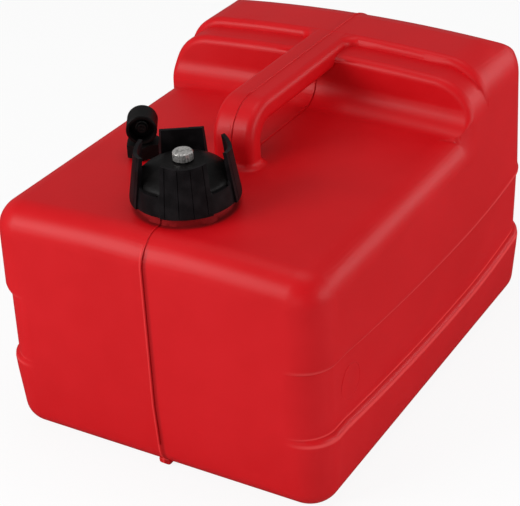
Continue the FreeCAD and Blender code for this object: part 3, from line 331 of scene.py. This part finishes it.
# Heights between which the loops of points round the overhang and the ledge lie,
# and how far each loop comes down before it climbs.
OVERHANG = (0.0948, 0.1037)
OVERHANG_DROP = 0.0013
LEDGE = (0.0474, 0.0502)
LEDGE_TOP = 0.05
LEDGE_DROP = 0.0032
LEDGE_SLOPE = 2
INNER_LEDGE = (0.0438, 0.0467)
INNER_LEDGE_DROP = 0.0045


def climb(y):
    """How far a line of the waist has climbed at this place along the tank."""
    away = y - SAG_MIDDLE
    return min((SAG_FRONT if away < 0 else SAG_REAR) * away * away, SAG_LIMIT)


tank = joined_copy("tank_shell", "tank")
only(tank)
bpy.ops.object.mode_set(mode="EDIT")
for cut in LENGTHWISE_CUTS:
    bpy.ops.mesh.select_all(action="SELECT")
    bpy.ops.mesh.bisect(plane_co=(0, cut, 0), plane_no=(0, 1, 0))
for cut in CUTS_BESIDE_SEAM:
    bpy.ops.mesh.select_all(action="SELECT")
    bpy.ops.mesh.bisect(plane_co=(cut, 0, 0), plane_no=(1, 0, 0))
bpy.ops.object.mode_set(mode="OBJECT")
for point in tank.data.vertices:
    climbed = climb(point.co.y)
    outward = point.co.x / HALF_WIDTH
    rearward = point.co.y / HALF_LENGTH
    upper = min(max((point.co.z - UPPER_FOOT) / UPPER_BLEND, 0), 1)
    waist = 1 - upper if point.co.z > WAIST_TOP else 0
    narrower = (UPPER_NARROWER + UPPER_TAPER * rearward) * upper
    wider = (WAIST_WIDER + WAIST_TAPER * rearward) * waist
    point.co.x += (wider - narrower) * outward
    if OVERHANG[0] < point.co.z < OVERHANG[1]:
        point.co.z += climbed - OVERHANG_DROP
    elif LEDGE[0] < point.co.z < LEDGE[1]:
        point.co.z = LEDGE_TOP - LEDGE_DROP + climbed - LEDGE_SLOPE * (LEDGE_TOP - point.co.z)
    elif INNER_LEDGE[0] < point.co.z < INNER_LEDGE[1]:
        point.co.z += climbed - INNER_LEDGE_DROP
smooth(tank, 28)
stand_for(tank, "tank_shell", "tank", red)

# Where the mould closes, the parison is pinched off in a small tail at the foot
# of the seam.
only(tank)
bpy.ops.mesh.primitive_cube_add(size=1, location=(-0.0005, -0.1522, 0.0036))
tail = bpy.context.object
tail.name = "seam_tail"
tail.scale = (0.0085, 0.0060, 0.0042)
bpy.ops.object.transform_apply(location=True, rotation=False, scale=True)
bpy.ops.object.mode_set(mode="EDIT")
bpy.ops.mesh.subdivide(number_cuts=2)
bpy.ops.transform.vertex_random(offset=0.0005, seed=4)
bpy.ops.object.mode_set(mode="OBJECT")
rounding = tail.modifiers.new("rounding", "SUBSURF")
rounding.levels = 2
rounding.render_levels = 2
bpy.ops.object.modifier_apply(modifier="rounding")
bpy.ops.object.shade_smooth()
tail.data.materials.append(red)
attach(tail, "tank")

# Mark of a mould plug on the right side: a faint raised ring, spun from its
# small round section.
PLUG = Vector((0.1169, -0.1174, 0.0788))
PLUG_RADIUS = 0.012
STEPS = 72
only(tank)
bpy.ops.mesh.primitive_circle_add(vertices=8, radius=0.0003, location=PLUG + Vector((0, PLUG_RADIUS, 0)))
ring = bpy.context.object
ring.name = "plug_mark"
bpy.ops.object.transform_apply(location=True, rotation=True, scale=True)
bpy.ops.object.mode_set(mode="EDIT")
bpy.ops.mesh.select_all(action="SELECT")
bpy.ops.mesh.spin(steps=STEPS, angle=2 * math.pi, center=PLUG, axis=(1, 0, 0))
bpy.ops.mesh.select_all(action="SELECT")
bpy.ops.mesh.remove_doubles(threshold=1e-6)
bpy.ops.mesh.normals_make_consistent(inside=False)
bpy.ops.object.mode_set(mode="OBJECT")
bpy.ops.object.shade_smooth()
ring.data.materials.append(red)
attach(ring, "tank")

# Thread of the filler neck: one rounded ridge that climbs round it. The ridge in
# the cap starts on the far side of the neck, half a pitch away.
THREAD_ROUNDING = 0.0008
THREAD_PITCH = 0.004
THREAD_TURNS = 0.9
THREAD_LOW = 0.1824


def thread(name, reach, material, body):
    """Rounded ridge on a helix about the filler, screwed up from its small section."""
    only(tank)
    bpy.ops.mesh.primitive_circle_add(
        vertices=12, radius=THREAD_ROUNDING, location=(reach, 0, THREAD_LOW), rotation=(math.pi / 2, 0, 0)
    )
    ridge = bpy.context.object
    ridge.name = name
    bpy.ops.object.transform_apply(location=True, rotation=True, scale=True)
    winding = ridge.modifiers.new("winding", "SCREW")
    winding.angle = 2 * math.pi * THREAD_TURNS
    winding.screw_offset = THREAD_PITCH * THREAD_TURNS
    winding.steps = round(STEPS * THREAD_TURNS)
    winding.render_steps = winding.steps
    bpy.ops.object.modifier_apply(modifier="winding")
    bpy.ops.object.mode_set(mode="EDIT")
    bpy.ops.mesh.select_all(action="SELECT")
    bpy.ops.mesh.remove_doubles(threshold=1e-6)
    bpy.ops.mesh.select_all(action="DESELECT")
    bpy.ops.mesh.select_non_manifold()
    bpy.ops.mesh.edge_face_add()
    bpy.ops.mesh.select_all(action="SELECT")
    bpy.ops.mesh.normals_make_consistent(inside=False)
    bpy.ops.transform.translate(value=FILLER)
    bpy.ops.object.mode_set(mode="OBJECT")
    bpy.ops.object.shade_smooth()
    ridge.data.materials.append(material)
    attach(ridge, body)


NECK_RADIUS = 0.025
thread("neck_thread", NECK_RADIUS, red, "tank")


# ---- Seals: flat gaskets and rings of black nitrile rubber, each moulded in one
# piece and laid in its seat. They are dull and slightly dusty.


rubber, rubber_shader, wire = new_material("nitrile_rubber")
place = wire.node("TexCoord", output="Object")
dust = place.noise(260.0, 4.0)
clean_black = (0.012, 0.012, 0.012, 1)
dusty_grey = (0.04, 0.04, 0.038, 1)
feed(rubber_shader, "Base Color", dust.between(0.4, 0.75).blend(clean_black, dusty_grey))
feed(rubber_shader, "Roughness", dust * 0.2 + 0.55)
feed(rubber_shader, "Normal", dust.bump(0.2, 0.0001))
seals = {
    "filler_gasket": "cap_seal",
    "vent_o_ring": "vent_seal",
    "outlet_gasket": "tank",
    "elbow_o_ring": "outlet",
    "nipple_o_ring": "outlet",
    "poppet_seal": "valve",
}
for node, body in seals.items():
    seal = joined_copy(node, node + "_rubber")
    smooth(seal, 50)
    stand_for(seal, node, body, rubber)


# ---- Cap, inner part: a black dome that screws on to the neck, with the brass
# insert of the vent in the middle and a white splash cup snapped in below.


def black_plastic(name, dark, light, rough):
    """Moulded black plastic with a fine spark-eroded grain and faint handling marks."""
    material, shader, wire = new_material(name)
    where = wire.node("TexCoord", output="Object")
    fine = where.noise(1500.0, 2.0)
    marks = where.noise(120.0, 5.0)
    feed(shader, "Base Color", marks.between(0.35, 0.8).blend(dark, light))
    feed(shader, "Roughness", marks * 0.22 + fine * 0.08 + rough)
    feed(shader, "Normal", (fine * 0.6 + marks * 0.4).bump(0.25, 0.00015))
    shader.inputs["Specular IOR Level"].default_value = 0.08
    return material


closure_dark = (0.0035, 0.003, 0.003, 1)
closure_light = (0.008, 0.007, 0.007, 1)
closure_black = black_plastic("closure_plastic", closure_dark, closure_light, 0.30)
closure = joined_copy("cap_closure", "cap_dome")
round_edges(closure, 0.0004)
smooth(closure, 30)
stand_for(closure, "cap_closure", "cap", closure_black)
CAP_THREAD_RADIUS = 0.0272
thread("cap_thread", -CAP_THREAD_RADIUS, closure_black, "cap")

natural, natural_shader, wire = new_material("natural_polyethylene")
place = wire.node("TexCoord", output="Object")
cloudy = place.noise(90.0, 4.0)
feed(natural_shader, "Base Color", cloudy.blend((0.70, 0.69, 0.63, 1), (0.82, 0.81, 0.77, 1)))
feed(natural_shader, "Roughness", cloudy * 0.15 + 0.38)
feed(natural_shader, "Normal", cloudy.bump(0.15, 0.0002))
natural_shader.inputs["Subsurface Weight"].default_value = 0.15
natural_shader.inputs["Subsurface Scale"].default_value = 0.002
cup = joined_copy("splash_cup", "splash_cup_white")
round_edges(cup, 0.0003)
smooth(cup, 30)
stand_for(cup, "splash_cup", "cap", natural)

brass, brass_shader, wire = new_material("turned_brass")
place = wire.node("TexCoord", output="Object")
tarnish = place.noise(320.0, 4.0)
lathe = place.stretched((90.0, 90.0, 3500.0)).noise(1.0, 1.0)
brass_shader.inputs["Metallic"].default_value = 1.0
bright_brass = (0.75, 0.56, 0.26, 1)
dull_brass = (0.52, 0.36, 0.15, 1)
feed(brass_shader, "Base Color", tarnish.between(0.35, 0.7).blend(bright_brass, dull_brass))
feed(brass_shader, "Roughness", tarnish * 0.2 + 0.2)
feed(brass_shader, "Normal", lathe.bump(0.2, 0.00008))
insert = joined_copy("vent_insert", "vent_insert_brass")
round_edges(insert, 0.0002)
smooth(insert, 30)
stand_for(insert, "vent_insert", "cap", brass)


# ---- Cap, outer part: the black castellated grip with four ears, moulded in a
# tough plastic. It is snapped over the dome and turns it by ribs on the inside.


grip_dark = (0.004, 0.003, 0.0035, 1)
grip_light = (0.010, 0.008, 0.009, 1)
grip_black = black_plastic("grip_plastic", grip_dark, grip_light, 0.34)
grip = joined_copy("cap_grip", "cap_grip_black")
round_edges(grip, 0.0005)
smooth(grip, 30)
stand_for(grip, "cap_grip", "cap", grip_black)


# ---- Air vent: a knurled steel screw that is opened before the motor is run,
# held in the cap by a spring clip.


steel, steel_shader, wire = new_material("plated_steel")
place = wire.node("TexCoord", output="Object")
pitted = place.noise(700.0, 4.0)
worn = place.noise(180.0, 3.0)
steel_shader.inputs["Metallic"].default_value = 0.75
pit_grey = (0.24, 0.23, 0.22, 1)
bright_plating = (0.62, 0.60, 0.58, 1)
feed(steel_shader, "Base Color", pitted.between(0.25, 0.6).blend(pit_grey, bright_plating))
feed(steel_shader, "Roughness", worn * 0.25 + 0.22)
feed(steel_shader, "Normal", pitted.bump(0.2, 0.0001))
screw = joined_copy("vent_screw", "vent_screw_steel")
round_edges(screw, 0.00015)
smooth(screw, 30)
stand_for(screw, "vent_screw", "vent_knob", steel)

spring, spring_shader, wire = new_material("spring_steel")
place = wire.node("TexCoord", output="Object")
drawn = place.noise(900.0, 2.0)
spring_shader.inputs["Metallic"].default_value = 1.0
feed(spring_shader, "Base Color", drawn.blend((0.50, 0.50, 0.51, 1), (0.66, 0.66, 0.66, 1)))
feed(spring_shader, "Roughness", drawn * 0.15 + 0.22)
springs = {"vent_clip": "vent_knob", "spring_retainer": "outlet", "poppet_spring": "outlet"}
for node, body in springs.items():
    part = joined_copy(node, node + "_steel")
    smooth(part, 30)
    stand_for(part, node, body, spring)


# ---- Outlet: a black nylon elbow that turns on the small neck, clamped by a
# hexagon nut. Its hood shields the fuel connector, also black, and its valve.


outlet_dark = (0.002, 0.0015, 0.0015, 1)
outlet_light = (0.006, 0.005, 0.005, 1)
outlet_black = black_plastic("outlet_nylon", outlet_dark, outlet_light, 0.32)
outlet_parts = (
    ("outlet_nut", "tank", 0.0004),
    ("outlet_elbow", "outlet", 0.0004),
    ("pickup_head", "tank", 0.0002),
    ("connector_nipple", "outlet", 0.00015),
    ("poppet", "valve", 0.00015),
)
for node, body, edge_rounding in outlet_parts:
    part = joined_copy(node, node + "_black")
    round_edges(part, edge_rounding)
    smooth(part, 30)
    stand_for(part, node, body, outlet_black)


# ---- Pickup: a white polyethylene tube, pushed on to the sleeve under the outlet,
# that reaches down to a slotted strainer just above the floor of the tank.


for node in ("pickup_tube", "pickup_strainer"):
    part = joined_copy(node, node + "_white")
    round_edges(part, 0.0002)
    smooth(part, 30)
    stand_for(part, node, "tank", natural)
